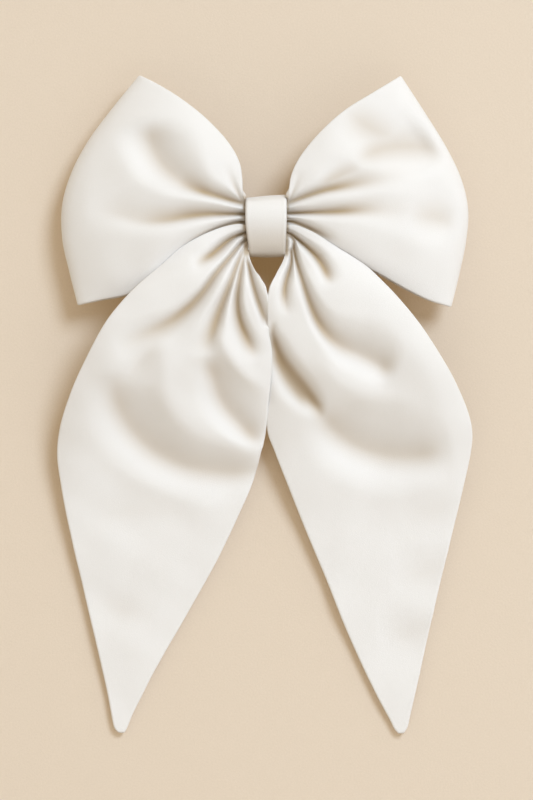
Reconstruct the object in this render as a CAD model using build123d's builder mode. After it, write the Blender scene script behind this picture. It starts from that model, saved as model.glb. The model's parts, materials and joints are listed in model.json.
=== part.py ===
"""A long-tailed satin hair bow on a spring barrette.

The bow hangs in the XZ plane and faces -Y. Z is up, and the tails hang down. The origin is the middle of the
barrette's base plate, on the back face of its two flat ends. Sizes are in millimetres.
"""

import os

from build123d import *

# ---------------------------------------------------------------- driving dimensions

# Barrette base plate
PLATE_LENGTH = 80.0
PLATE_WIDTH = 9.0
PLATE_THICK = 0.8
PLATE_TAB = 16.0  # length of each flat end
PLATE_RISE = 3.0  # how far the middle bows towards the front
PLATE_CORNER = 3.0
TIE_HOLE_RADIUS = 0.9
TIE_HOLE_SPACING = 76.0

# Hinge
HINGE_X = -31.0
HINGE_Y = 4.6
PIN_RADIUS = 0.75
PIN_CLEARANCE = 0.05
EAR_THICK = 0.8
EAR_RADIUS = 2.1
EAR_FOOT = 7.0
EAR_BLEND = 0.6
PIN_HEAD_RADIUS = 1.25
PIN_HEAD_THICK = 0.5
PIN_HEAD_CHAMFER = 0.2

# Clasp arm
ARM_THICK = 0.8
ARM_WIDTH = 6.0
ARM_BOW = 0.3
ARM_TIP_X = 36.5
ARM_HEAD_WIDTH = 9.0
ARM_HEAD_LENGTH = 9.5
ARM_HEAD_CORNER = 1.5
WINDOW_LENGTH = 4.6
WINDOW_HALF = 2.6
EYE_RADIUS = 1.6
EYE_LENGTH = 6.8

# Tension spring
SPRING_THICK = 0.4
SPRING_WIDTH = 4.4
SPRING_START = -28.6
SPRING_END = 23.0
SPRING_BOW = 0.4
SPRING_LIFT = 0.1  # how far its free end stands off the plate
SPRING_CORNER = 1.4
SPRING_RIVET_X = -26.4
SPRING_PLAY = 0.2  # room under the rivet head for the spring to lift
RIVET_RADIUS = 0.7
RIVET_PLAY = 0.1
RIVET_HEAD_RADIUS = 1.2
RIVET_HEAD_THICK = 0.4
RIVET_HEAD_ROUND = 0.2

# Catch
CATCH_X = 31.5
CATCH_LENGTH = 7.0
CATCH_THICK = 0.5
CATCH_CORNER = 0.6
PRONG_INNER = 1.6
PRONG_THICK = 0.5
PRONG_LENGTH = 3.8
PRONG_TOP = 8.4
PRONG_CORNER = 0.8
PRONG_GAP = 0.1
PRONG_FOOT = 0.08  # the prongs stand this far off the plate
BARB_REACH = 0.4
BARB_FOOT = 6.55
BARB_TIP = 0.2  # the lead-in starts this far inside the prong's outer face

# Cloth
PLY = 0.4
PLY_GAP = 0.28
INTERLINING = 0.25
SEAM_INSET = 6.0  # the interlining stops this far inside the seam
LAYER_FACE = (0.0, PLY)
LAYER_MIDDLE = (PLY + PLY_GAP, PLY + PLY_GAP + INTERLINING)
LAYER_LINING = (PLY + 2 * PLY_GAP + INTERLINING, 2 * PLY + 2 * PLY_GAP + INTERLINING)

# Centre band and the gathered waists inside it
BAND_WIDTH = 18.6
BAND_THICK = 1.1
BAND_FRONT_Y = -16.6
BAND_BACK_Y = -1.4
BAND_TAPER_Y = -4.6
BAND_HALF_FRONT = 13.6
BAND_HALF_BACK = 6.2
BAND_FRONT_ROUND = 2.5
BAND_BACK_ROUND = 1.8
WAIST_LENGTH = 19.4
WAIST_Y = -10.1
WAIST_DEPTH = 8.4
WAIST_PITCH = 2.1
WAIST_PLEATS = 5
PLEAT_HALF = 1.26
WAIST_Z = 6.4
THREAD_RADIUS = 0.25
THREAD_TURNS = 4
THREAD_PITCH = 0.75
THREAD_CORNER = 1.4
THREAD_GAP = 0.05
STITCHES = 7
STITCH_PITCH = 2.4
STITCH_RADIUS = 0.15
STITCH_LENGTH = 1.8
PAD_SIZE = (30.0, 1.1, 8.0)
PAD_CORNER = 1.5
PAD_GAP = 0.05
CUT_DEPTH = 80.0  # cuts through any cloth sheet from front to back
SHEET_REACH = 120.0  # wider than either tail

COLOURS = {
    "cloth": Color(0.95, 0.94, 0.91),
    "steel": Color(0.75, 0.76, 0.78),
    "thread": Color(0.97, 0.96, 0.93),
}


def finish(piece, name, kind):
    """Label, colour and export one finished piece."""
    piece.part.label = name
    piece.part.color = COLOURS[kind]
    export_step(piece.part, f"parts/{name}.step")


# ---------------------------------------------------------------- barrette


def base_plate():
    """Stamped plate: flat ends, a middle bowed to the front, folded hinge ears and two tie holes."""
    half = PLATE_LENGTH / 2
    flat = half - PLATE_TAB
    with BuildPart() as plate:
        with BuildSketch(Plane.XY):
            with BuildLine():
                for y in (0, -PLATE_THICK):
                    Line((-half, y), (-flat, y))
                    ThreePointArc((-flat, y), (0, y - PLATE_RISE), (flat, y))
                    Line((flat, y), (half, y))
                Line((-half, 0), (-half, -PLATE_THICK))
                Line((half, 0), (half, -PLATE_THICK))
            make_face()
        extrude(amount=PLATE_WIDTH / 2, both=True)
        fillet(plate.edges().filter_by(Axis.Y).group_by(Axis.X)[0], radius=PLATE_CORNER)
        fillet(plate.edges().filter_by(Axis.Y).group_by(Axis.X)[-1], radius=PLATE_CORNER)
        for side in (-1, 1):
            with BuildSketch(Plane.XY.offset(side * PLATE_WIDTH / 2)):
                with Locations((HINGE_X, (HINGE_Y - PLATE_THICK / 2) / 2)):
                    Rectangle(EAR_FOOT, HINGE_Y + PLATE_THICK / 2)
                with Locations((HINGE_X, HINGE_Y)):
                    Circle(EAR_RADIUS)
            extrude(amount=-side * EAR_THICK)
        upright = plate.edges().filter_by(Axis.Z)
        fillet(upright.filter_by_position(Axis.Y, HINGE_Y, HINGE_Y + EAR_BLEND), radius=EAR_BLEND)
        with BuildSketch(Plane.XY.offset(-PLATE_WIDTH)):
            with Locations((HINGE_X, HINGE_Y)):
                Circle(PIN_RADIUS)
        extrude(amount=2 * PLATE_WIDTH, mode=Mode.SUBTRACT)
        with BuildSketch(Plane.XZ):
            with GridLocations(TIE_HOLE_SPACING, 1, 2, 1):
                Circle(TIE_HOLE_RADIUS)
            with Locations((SPRING_RIVET_X, 0), (CATCH_X, 0)):
                Circle(RIVET_RADIUS)
        extrude(amount=2 * PLATE_RISE, both=True, mode=Mode.SUBTRACT)
    return plate


def hinge_pin():
    """Headed pin through both ears."""
    half = PLATE_WIDTH / 2
    with BuildPart() as pin:
        with BuildSketch(Plane.XY.offset(-half)):
            with Locations((HINGE_X, HINGE_Y)):
                Circle(PIN_RADIUS)
        extrude(amount=2 * half)
        for side in (-1, 1):
            with BuildSketch(Plane.XY.offset(side * half)):
                with Locations((HINGE_X, HINGE_Y)):
                    Circle(PIN_HEAD_RADIUS)
            extrude(amount=side * PIN_HEAD_THICK)
        chamfer(pin.faces().sort_by(Axis.Z)[0].edges(), length=PIN_HEAD_CHAMFER)
        chamfer(pin.faces().sort_by(Axis.Z)[-1].edges(), length=PIN_HEAD_CHAMFER)
    return pin


def clasp_arm():
    """Bowed strip with a rolled eye at the hinge end and a latch window in its wider head."""
    back = HINGE_Y + EYE_RADIUS
    front = back - ARM_THICK
    with BuildPart() as arm:
        with BuildSketch(Plane.XY):
            with BuildLine():
                for y in (back, front):
                    ThreePointArc((HINGE_X, y), (0, y - ARM_BOW), (-HINGE_X, y))
                    Line((-HINGE_X, y), (ARM_TIP_X, y))
                Line((HINGE_X, back), (HINGE_X, front))
                Line((ARM_TIP_X, back), (ARM_TIP_X, front))
            make_face()
        extrude(amount=ARM_WIDTH / 2, both=True)
        with BuildSketch(Plane.XZ.offset(-back)):
            with Locations((ARM_TIP_X - ARM_HEAD_LENGTH / 2, 0)):
                RectangleRounded(ARM_HEAD_LENGTH, ARM_HEAD_WIDTH, ARM_HEAD_CORNER)
        extrude(amount=ARM_THICK)
        with BuildSketch(Plane.XY):
            with Locations((HINGE_X, HINGE_Y)):
                Circle(EYE_RADIUS)
        extrude(amount=EYE_LENGTH / 2, both=True)
        with BuildSketch(Plane.XY):
            with Locations((HINGE_X, HINGE_Y)):
                Circle(PIN_RADIUS + PIN_CLEARANCE)
        extrude(amount=PLATE_WIDTH, both=True, mode=Mode.SUBTRACT)
        with BuildSketch(Plane.XZ):
            with Locations((CATCH_X, 0)):
                Rectangle(WINDOW_LENGTH, 2 * WINDOW_HALF)
        extrude(amount=-2 * back, mode=Mode.SUBTRACT)
    return arm


def tension_spring():
    """Thin strip riveted at the hinge end and bowed towards the clasp arm."""
    with BuildPart() as spring:
        with BuildSketch(Plane.XY):
            with BuildLine():
                knee = SPRING_RIVET_X + RIVET_HEAD_RADIUS + SPRING_PLAY
                middle = (knee + SPRING_END) / 2
                for y in (0, SPRING_THICK):
                    Line((SPRING_START, y), (knee, y))
                    ThreePointArc((knee, y), (middle, y + SPRING_BOW), (SPRING_END, y + SPRING_LIFT))
                Line((SPRING_START, 0), (SPRING_START, SPRING_THICK))
                Line((SPRING_END, SPRING_LIFT), (SPRING_END, SPRING_THICK + SPRING_LIFT))
            make_face()
        extrude(amount=SPRING_WIDTH / 2, both=True)
        fillet(spring.edges().filter_by(Axis.Y), radius=SPRING_CORNER)
        with BuildSketch(Plane.XZ):
            with Locations((SPRING_RIVET_X, 0)):
                Circle(RIVET_RADIUS + RIVET_PLAY)
        extrude(amount=4 * SPRING_THICK, both=True, mode=Mode.SUBTRACT)
    return spring


def rivet(x, seat):
    """Flat rivet through the plate at x, with its head on a part whose back face is at y = seat."""
    with BuildPart() as pin:
        with BuildSketch(Plane.XZ.offset(PLATE_THICK)):
            with Locations((x, 0)):
                Circle(RIVET_RADIUS)
        extrude(amount=-(PLATE_THICK + seat))
        with BuildSketch(Plane.XZ.offset(-seat)):
            with Locations((x, 0)):
                Circle(RIVET_HEAD_RADIUS)
        extrude(amount=-RIVET_HEAD_THICK)
        fillet(pin.faces().sort_by(Axis.Y)[-1].edges(), radius=RIVET_HEAD_ROUND)
    return pin


def catch_clip():
    """Flat foot of the catch, riveted to the plate between the two prongs."""
    with BuildPart() as foot:
        with BuildSketch(Plane.XZ):
            with Locations((CATCH_X, 0)):
                RectangleRounded(CATCH_LENGTH, 2 * (PRONG_INNER - PRONG_GAP), CATCH_CORNER)
        extrude(amount=-CATCH_THICK)
        with BuildSketch(Plane.XZ):
            with Locations((CATCH_X, 0)):
                Circle(RIVET_RADIUS)
        extrude(amount=-2 * CATCH_THICK, mode=Mode.SUBTRACT)
    return foot


def catch_prong(side):
    """One springy prong of the catch. Its barb points away from the middle."""
    inner = side * PRONG_INNER
    outer = side * (PRONG_INNER + PRONG_THICK)
    barb = side * (PRONG_INNER + PRONG_THICK + BARB_REACH)
    with BuildPart() as prong:
        with BuildSketch(Plane.YZ.offset(CATCH_X - PRONG_LENGTH / 2)):
            with BuildLine():
                Polyline(
                    (PRONG_FOOT, inner),
                    (PRONG_TOP, inner),
                    (PRONG_TOP, outer - side * BARB_TIP),
                    (BARB_FOOT, barb),
                    (BARB_FOOT, outer),
                    (PRONG_FOOT, outer),
                    close=True,
                )
            make_face()
        extrude(amount=PRONG_LENGTH)
        fillet(prong.edges().filter_by(Axis.Z).group_by(Axis.Y)[-1], radius=PRONG_CORNER)
    return prong


# ---------------------------------------------------------------- centre of the bow


def knot_band():
    """Closed satin band round both waists and the base plate, narrower where it wraps the plate."""
    with BuildPart() as band:
        with BuildSketch(Plane.YZ.offset(-BAND_WIDTH / 2)) as ring:
            with BuildLine():
                Polyline(
                    (BAND_FRONT_Y, -BAND_HALF_FRONT),
                    (BAND_TAPER_Y, -BAND_HALF_FRONT),
                    (BAND_BACK_Y, -BAND_HALF_BACK),
                    (BAND_BACK_Y, BAND_HALF_BACK),
                    (BAND_TAPER_Y, BAND_HALF_FRONT),
                    (BAND_FRONT_Y, BAND_HALF_FRONT),
                    close=True,
                )
            make_face()
            fillet(ring.vertices().group_by(Axis.X)[0], radius=BAND_FRONT_ROUND)
            fillet(ring.vertices().group_by(Axis.X)[-1], radius=BAND_BACK_ROUND)
            offset(amount=-BAND_THICK, mode=Mode.SUBTRACT)
        extrude(amount=BAND_WIDTH)
    return band


def waist(side):
    """Gathered middle of a strip: a stack of pleats. side is 1 for the loops, on top, or -1 for the tails."""
    with BuildPart() as bundle:
        with BuildSketch(Plane.YZ.offset(-WAIST_LENGTH / 2)):
            for i in range(WAIST_PLEATS):
                z = side * WAIST_Z + (i - (WAIST_PLEATS - 1) / 2) * WAIST_PITCH
                with Locations((WAIST_Y, z)):
                    Ellipse(WAIST_DEPTH / 2, PLEAT_HALF)
        extrude(amount=WAIST_LENGTH)
    return bundle


def gathering_thread(side):
    """Turns of thread drawn tight round one waist."""
    wall = 2 * THREAD_RADIUS + THREAD_GAP
    half_depth = WAIST_DEPTH / 2 + wall
    half_height = (WAIST_PLEATS - 1) / 2 * WAIST_PITCH + PLEAT_HALF + wall
    with BuildPart() as thread:
        for i in range(THREAD_TURNS):
            x = (i - (THREAD_TURNS - 1) / 2) * THREAD_PITCH
            with BuildSketch(Plane.YZ.offset(x - THREAD_RADIUS)):
                with Locations((WAIST_Y, side * WAIST_Z)):
                    RectangleRounded(2 * half_depth, 2 * half_height, THREAD_CORNER)
                offset(amount=-2 * THREAD_RADIUS, mode=Mode.SUBTRACT)
            extrude(amount=2 * THREAD_RADIUS)
    return thread


def band_stitches():
    """Row of hand stitches that closes the band's lap over the back of the plate."""
    y = BAND_BACK_Y + THREAD_GAP + STITCH_RADIUS
    with BuildPart() as row:
        with BuildSketch(Plane.XY.offset(-STITCH_LENGTH / 2)):
            with Locations((0, y)):
                with GridLocations(STITCH_PITCH, 1, STITCHES, 1):
                    Circle(STITCH_RADIUS)
        extrude(amount=STITCH_LENGTH)
    return row


def backing_pad():
    """Felt strip between the waists and the plate."""
    length, thick, height = PAD_SIZE
    with BuildPart() as pad:
        with BuildSketch(Plane.XZ.offset(PLATE_THICK + PLATE_RISE + PAD_GAP)):
            RectangleRounded(length, height, PAD_CORNER)
        extrude(amount=thick)
    return pad


# ---------------------------------------------------------------- cloth

# Front outlines (x, z). Each list is one smooth stretch. A loop's bottom and top edges run outwards from the
# waist, and its waist and fold run upwards. A tail's stretches run round it, end to end.
LOOP_LEFT_EDGES = {
    "bottom": [(-10.6, 0.6), (-52.0, -24.0), (-84.0, -34.7)],
    "top": [(-10.6, 11.0), (-13.5, 25.0), (-29.7, 46.0), (-58.0, 67.5)],
    "waist": [(-10.6, 0.6), (-10.6, 11.0)],
    "fold": [(-84.0, -34.7), (-91.8, 9.5), (-80.0, 38.7), (-58.0, 67.5)],
}
LOOP_RIGHT_EDGES = {
    "bottom": [(10.6, 0.6), (48.0, -22.0), (82.4, -35.0)],
    "top": [(10.6, 11.0), (15.3, 29.7), (35.6, 50.9), (61.2, 67.0)],
    "waist": [(10.6, 0.6), (10.6, 11.0)],
    "fold": [(82.4, -35.0), (90.9, 7.2), (81.5, 35.0), (61.2, 67.0)],
}
TAIL_LEFT_OUTLINE = [
    [(-3.5, -20.0), (-11.5, -17.0)],
    [(-11.5, -17.0), (-11.5, -7.5)],
    [(-11.5, -7.5), (-37.0, -11.5), (-71.0, -41.0), (-94.0, -101.0), (-81.5, -168.0), (-67.5, -226.0)],
    [(-67.5, -226.0), (-65.0, -227.7), (-62.5, -226.0)],
    [(-62.5, -226.0), (-38.7, -182.0), (-11.7, -128.0), (-1.0, -80.0)],
    [(-1.0, -80.0), (-1.0, -40.0)],
    [(-1.0, -40.0), (-3.5, -20.0)],
]
TAIL_RIGHT_OUTLINE = [
    [(3.5, -20.0), (11.5, -17.0)],
    [(11.5, -17.0), (11.5, -7.5)],
    [(11.5, -7.5), (44.0, -18.5), (67.5, -41.0), (92.7, -100.0), (78.0, -168.0), (64.0, -227.0)],
    [(64.0, -227.0), (61.5, -228.8), (59.0, -227.0)],
    [(59.0, -227.0), (31.0, -168.0), (10.8, -123.0), (1.0, -80.0)],
    [(1.0, -80.0), (1.0, -40.0)],
    [(1.0, -40.0), (3.5, -20.0)],
]

# Plan of a loop on its outer face (distance out from the waist, y): front run, fold, back run.
LOOP_PLAN = [
    (0.0, -14.2),
    (20.0, -19.4),
    (42.0, -20.8),
    (66.0, -14.4),
    (77.5, -7.4),
    (80.0, -2.6),
    (76.5, 1.6),
    (66.0, 3.4),
    (46.0, 1.2),
    (26.0, -3.2),
    (0.0, -6.4),
]
LOOP_REACH = 80.0
LOOP_FLAT_Y = -6.0  # the runs draw together towards this depth at the loop's open edges
LOOP_EDGE_PUFF = 0.7  # how much of the middle's depth is left there
LOOP_PUFF_POWER = 2.5
LOOP_ROWS = 7
LOOP_ROW_POINTS = 32
NUDGE = 0.002  # step used to find the sheet's direction at a point

# Side view of a tail (z, y of its front face), from the knot down to the tip.
TAIL_PROFILE = [
    (-5.0, -19.0),
    (-12.0, -22.8),
    (-26.0, -25.0),
    (-60.0, -20.5),
    (-105.0, -3.5),
    (-160.0, 4.2),
    (-230.0, 6.0),
]


def outline_prism(outline, inset):
    """Block as deep as the bow with a front outline drawn in by inset."""
    path = [point for stretch in outline for point in stretch[:-1]]
    centre = Vector(sum(x for x, z in path) / len(path), sum(z for x, z in path) / len(path))
    with BuildPart(mode=Mode.PRIVATE) as prism:
        with BuildSketch(Plane.XZ):
            with BuildLine():
                for stretch in outline:
                    Spline(*[drawn_in(x, z, centre, inset) for x, z in stretch])
            make_face()
        extrude(amount=CUT_DEPTH, both=True)
    return prism.part


def drawn_in(x, z, centre, inset):
    """The point moved by inset towards the centre."""
    inward = (centre - Vector(x, z)).normalized() * inset
    return x + inward.X, z + inward.Y


def loop_point(edges, along, up):
    """Point on a loop's outer face. along runs from front waist to back waist, up from bottom to top."""
    on_plan = edges["plan"] @ min(max(along, 0), 1)
    out = on_plan.X / LOOP_REACH
    up = min(max(up, 0), 1)
    bottom, top, waist, fold = edges["bottom"], edges["top"], edges["waist"], edges["fold"]
    across = (bottom @ out) * (1 - up) + (top @ out) * up
    upwards = (waist @ up) * (1 - out) + (fold @ up) * out
    waist_chord = (waist @ 0) * (1 - up) + (waist @ 1) * up
    fold_chord = (fold @ 0) * (1 - up) + (fold @ 1) * up
    flat = across + upwards - waist_chord * (1 - out) - fold_chord * out
    puff = 1 - (1 - LOOP_EDGE_PUFF) * abs(2 * up - 1) ** LOOP_PUFF_POWER * out
    return Vector(flat.X, LOOP_FLAT_Y + (on_plan.Y - LOOP_FLAT_Y) * puff, flat.Y)


def inside_point(edges, along, up, depth):
    """Point that lies depth under a loop's outer face."""
    ahead = loop_point(edges, along + NUDGE, up) - loop_point(edges, along - NUDGE, up)
    above = loop_point(edges, along, up + NUDGE) - loop_point(edges, along, up - NUDGE)
    return loop_point(edges, along, up) - ahead.cross(above).normalized() * depth


def loop_sheet(edges, depth, margin):
    """Smooth surface at one depth in a loop, stopping margin short of its open edges."""
    rows = []
    for j in range(LOOP_ROWS):
        up = margin + (1 - 2 * margin) * j / (LOOP_ROWS - 1)
        points = [inside_point(edges, i / LOOP_ROW_POINTS, up, depth) for i in range(LOOP_ROW_POINTS + 1)]
        rows.append(Wire([Edge.make_spline(points)]))
    return Shell.make_loft(rows).face()


def loop_layer(stretches, side, layer, inset):
    """One layer of a loop. It leaves the waist at the front, folds over outside and comes back behind."""
    edges = {"plan": Edge.make_spline([Vector(*point) for point in LOOP_PLAN])}
    for name, points in stretches.items():
        edges[name] = Edge.make_spline([Vector(*point) for point in points])
    margin = inset / edges["fold"].length
    outer, inner = (loop_sheet(edges, side * depth, margin) for depth in layer)
    faces = [outer, inner]
    for rim in outer.edges():
        facing = inner.edges().sort_by_distance(rim.center())[0]
        faces.append(Face.make_surface_from_curves(rim, facing))
    with BuildPart() as sheet:
        add(Solid(Shell(faces)))
    return sheet


def tail_layer(outline, layer, inset):
    """One layer of a tail: a sheet that swells below the knot and then lies back."""
    with BuildPart() as sheet:
        with BuildSketch(Plane.YZ.offset(-SHEET_REACH)):
            with BuildLine():
                faces = [[(y + depth, z) for z, y in TAIL_PROFILE] for depth in layer]
                for face in faces:
                    Spline(*face)
                for end in (0, -1):
                    Line(faces[0][end], faces[1][end])
            make_face()
        extrude(amount=2 * SHEET_REACH)
        add(outline_prism(outline, inset), mode=Mode.INTERSECT)
    return sheet


# ---------------------------------------------------------------- build

os.makedirs("parts", exist_ok=True)

finish(base_plate(), "base_plate", "steel")
finish(hinge_pin(), "hinge_pin", "steel")
finish(clasp_arm(), "clasp_arm", "steel")
finish(tension_spring(), "tension_spring", "steel")
finish(rivet(SPRING_RIVET_X, SPRING_THICK + SPRING_PLAY), "spring_rivet", "steel")
finish(rivet(CATCH_X, CATCH_THICK), "catch_rivet", "steel")
finish(catch_clip(), "catch_clip", "steel")
finish(catch_prong(1), "catch_prong_upper", "steel")
finish(catch_prong(-1), "catch_prong_lower", "steel")

finish(knot_band(), "knot_band", "cloth")
finish(waist(1), "loop_waist", "cloth")
finish(waist(-1), "tail_waist", "cloth")
finish(gathering_thread(1), "loop_gathering_thread", "thread")
finish(gathering_thread(-1), "tail_gathering_thread", "thread")
finish(band_stitches(), "band_stitches", "thread")
finish(backing_pad(), "backing_pad", "cloth")

LAYERS = {
    "face_ply": (LAYER_FACE, 0),
    "interlining": (LAYER_MIDDLE, SEAM_INSET),
    "lining_ply": (LAYER_LINING, 0),
}
for layer_name, (layer_depths, seam_inset) in LAYERS.items():
    finish(loop_layer(LOOP_LEFT_EDGES, -1, layer_depths, seam_inset), f"loop_left_{layer_name}", "cloth")
    finish(loop_layer(LOOP_RIGHT_EDGES, 1, layer_depths, seam_inset), f"loop_right_{layer_name}", "cloth")
    finish(tail_layer(TAIL_LEFT_OUTLINE, layer_depths, seam_inset), f"tail_left_{layer_name}", "cloth")
    finish(tail_layer(TAIL_RIGHT_OUTLINE, layer_depths, seam_inset), f"tail_right_{layer_name}", "cloth")
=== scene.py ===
"""A long-tailed ivory satin hair bow on its barrette, hung in front of a warm paper backdrop."""

import json
import math

import bpy
import numpy as np
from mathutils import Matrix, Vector
from mathutils.bvhtree import BVHTree

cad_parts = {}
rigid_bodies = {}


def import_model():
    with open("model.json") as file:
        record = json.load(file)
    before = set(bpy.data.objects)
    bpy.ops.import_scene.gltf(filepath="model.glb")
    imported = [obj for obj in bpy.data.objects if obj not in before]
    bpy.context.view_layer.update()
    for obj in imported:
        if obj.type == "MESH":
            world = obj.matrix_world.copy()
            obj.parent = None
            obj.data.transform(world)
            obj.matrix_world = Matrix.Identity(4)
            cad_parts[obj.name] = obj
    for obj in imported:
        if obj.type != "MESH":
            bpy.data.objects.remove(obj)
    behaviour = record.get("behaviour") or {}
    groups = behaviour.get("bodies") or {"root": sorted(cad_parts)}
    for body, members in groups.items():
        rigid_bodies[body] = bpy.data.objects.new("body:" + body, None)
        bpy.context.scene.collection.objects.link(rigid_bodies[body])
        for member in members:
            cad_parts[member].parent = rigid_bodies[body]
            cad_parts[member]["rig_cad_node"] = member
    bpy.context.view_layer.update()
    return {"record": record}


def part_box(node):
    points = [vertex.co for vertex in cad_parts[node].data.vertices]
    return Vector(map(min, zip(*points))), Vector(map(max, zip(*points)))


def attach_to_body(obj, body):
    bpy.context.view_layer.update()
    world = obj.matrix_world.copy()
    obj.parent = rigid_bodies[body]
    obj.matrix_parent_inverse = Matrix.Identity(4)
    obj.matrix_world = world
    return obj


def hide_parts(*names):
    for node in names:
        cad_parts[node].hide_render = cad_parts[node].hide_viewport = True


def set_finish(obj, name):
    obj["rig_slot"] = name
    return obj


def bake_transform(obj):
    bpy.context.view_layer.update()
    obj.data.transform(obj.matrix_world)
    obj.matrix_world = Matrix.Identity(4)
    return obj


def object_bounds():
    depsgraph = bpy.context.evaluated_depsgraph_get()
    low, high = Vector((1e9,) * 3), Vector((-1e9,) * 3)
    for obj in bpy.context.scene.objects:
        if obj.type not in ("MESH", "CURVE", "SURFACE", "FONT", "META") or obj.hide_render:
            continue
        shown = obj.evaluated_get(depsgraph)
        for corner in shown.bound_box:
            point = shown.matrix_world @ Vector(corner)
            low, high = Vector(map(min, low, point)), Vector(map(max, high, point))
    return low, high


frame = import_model()
MM = 0.001

# ---------------------------------------------------------------- curves and grids
# Lengths are in millimetres up to new_mesh, which makes them metres
SAMPLES_PER_POINT = 24


def smooth_line(points, count):
    """count evenly spaced points on a smooth curve through the given ones.

    The first two columns are the place. The others are carried along.
    """
    p = np.asarray(points, float)
    chord = np.linalg.norm(np.diff(p[:, :2], axis=0), axis=1)
    t = np.r_[0, np.cumsum(np.sqrt(chord))]
    slope = np.gradient(p, t, axis=0)
    fine = np.linspace(0, t[-1], SAMPLES_PER_POINT * len(p))
    k = np.clip(np.searchsorted(t, fine, side="right") - 1, 0, len(t) - 2)
    h = (t[k + 1] - t[k])[:, None]
    s = (fine - t[k])[:, None] / h
    q = (2 * s**3 - 3 * s**2 + 1) * p[k] + (s**3 - 2 * s**2 + s) * h * slope[k]
    q += (3 * s**2 - 2 * s**3) * p[k + 1] + (s**3 - s**2) * h * slope[k + 1]
    length = np.r_[0, np.cumsum(np.linalg.norm(np.diff(q[:, :2], axis=0), axis=1))]
    even = np.linspace(0, length[-1], count)
    return np.stack([np.interp(even, length, q[:, i]) for i in range(p.shape[1])], axis=1)


FOLD_STEPS = 70
FOLD_REACH = 2.4  # a fold fades out this many widths from its line
CORE_GROWTH = 0.11  # the rounded bottom's share of the width, for each millimetre of width
CORE_SHARE = (0.3, 0.7)  # and its limits
PAINTED_SHADE_REACH = 1.5  # a fold's painted shade ends this many widths from its line
PAINTED_SHADE_FALL = 1.5  # and fades with this power
DEEP_FOLD = 5.0  # a fold this deep gets the full painted shade
SOFT_FOLD = 4.2  # and one much wider than this only a little
LEAST_SHADE = 0.4


def folded(x, z, folds):
    """How far the folds push a sheet back at each point, and how much painted shade it gets at a fold's
    bottom, from 0 to 1.

    A fold is a line of (x, z, depth, width, lean). With a lean, one side is wider than the other.
    """
    all_spots = np.stack([x, z], -1).reshape(-1, 2)
    valleys = np.zeros(len(all_spots))
    ridges = np.zeros(len(all_spots))
    painted_shade = np.zeros(len(all_spots))
    for fold in folds:
        line = smooth_line(fold, FOLD_STEPS)
        reach = FOLD_REACH * (line[:, 3] * (1 + np.abs(line[:, 4]))).max()
        low, high = line[:, :2].min(0) - reach, line[:, :2].max(0) + reach
        inside = np.nonzero(((all_spots > low) & (all_spots < high)).all(1))[0]
        if not len(inside):
            continue
        spots = all_spots[inside, None]
        a, b = line[:-1], line[1:]
        run = (b - a)[:, :2]
        share = ((spots - a[:, :2]) * run).sum(-1) / (run**2).sum(-1)
        share = np.clip(share, 0, 1)
        away = spots - (a[:, :2] + share[..., None] * run)
        distance = np.linalg.norm(away, axis=-1)
        nearest = distance.argmin(1)
        rows = np.arange(len(nearest))
        share, away, distance = share[rows, nearest], away[rows, nearest], distance[rows, nearest]
        at = a[nearest] * (1 - share[:, None]) + b[nearest] * share[:, None]
        side = np.sign(run[nearest, 0] * away[:, 1] - run[nearest, 1] * away[:, 0])
        width = at[:, 3] * (1 + side * at[:, 4])
        core = width * np.clip(CORE_GROWTH * at[:, 3], *CORE_SHARE)
        share = (np.sqrt(distance**2 + core**2) - core) / (FOLD_REACH * width)
        push = at[:, 2] * np.clip(1 - share, 0, 1) ** 2
        valleys[inside] += np.maximum(push, 0) ** 3
        ridges[inside] += np.minimum(push, 0)
        # Painted shade: a dark warm tint at a fold's bottom, strongest in deep, narrow folds, where shade
        # falls
        tight = np.clip(1.6 - at[:, 3] / SOFT_FOLD, LEAST_SHADE, 1) * smoothstep(at[:, 2] / DEEP_FOLD)
        dark = np.clip(1 - distance / (PAINTED_SHADE_REACH * width), 0, 1) ** PAINTED_SHADE_FALL * tight
        painted_shade[inside] = np.maximum(painted_shade[inside], dark)
    # The cube root of the summed cubes: where folds meet, it is about as deep as the deepest of them
    total = np.cbrt(valleys) + ridges
    return total.reshape(x.shape), painted_shade.reshape(x.shape)


WAVES = 7
WAVE_TURN = 2.4
WAVE_SHIFT = 1.7
SHORTEST_WAVE = 17.0
WAVE_STEP = 6.5
WAVE_SLIMNESS = 150  # length of a wave over its height


def undulation(x, z, phase):
    """Faint long waves of a hanging cloth."""
    total = np.zeros_like(x)
    for k in range(WAVES):
        angle = WAVE_TURN * k + phase
        length = SHORTEST_WAVE + WAVE_STEP * k
        along = x * math.cos(angle) + z * math.sin(angle)
        total += np.sin(along * 2 * math.pi / length + WAVE_SHIFT * k) * length / WAVE_SLIMNESS
    return total


def relaxed(values, times):
    """The grid of values after a few rounds of averaging with its neighbours. Its rim stays."""
    v = values.copy()
    for _ in range(times):
        inner = (v[:-2, 1:-1] + v[2:, 1:-1] + v[1:-1, :-2] + v[1:-1, 2:]) / 4
        v[1:-1, 1:-1] = 0.5 * v[1:-1, 1:-1] + 0.5 * inner
    return v


FAR_BACK = 100  # y of a place behind every sheet
SLOPE_ROUNDS = 60


def pressed(grid, layers, gap):
    """How far a sheet is pushed back by the sheets lying on it, with an easy slope round them."""
    y = grid[..., 1]
    need = np.zeros_like(y)
    for tree in layers:
        for index in np.ndindex(y.shape):
            x, _, z = grid[index]
            hit = tree.ray_cast(Vector((x, FAR_BACK, z)), Vector((0, -1, 0)))[0]
            if hit is not None:
                need[index] = max(need[index], hit.y + gap - y[index])
    push = need.copy()
    for _ in range(SLOPE_ROUNDS):
        padded = np.pad(push, 1, mode="edge")
        mean = (padded[:-2, 1:-1] + padded[2:, 1:-1] + padded[1:-1, :-2] + padded[1:-1, 2:]) / 4
        push = np.maximum(need, mean)
    return push


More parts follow.
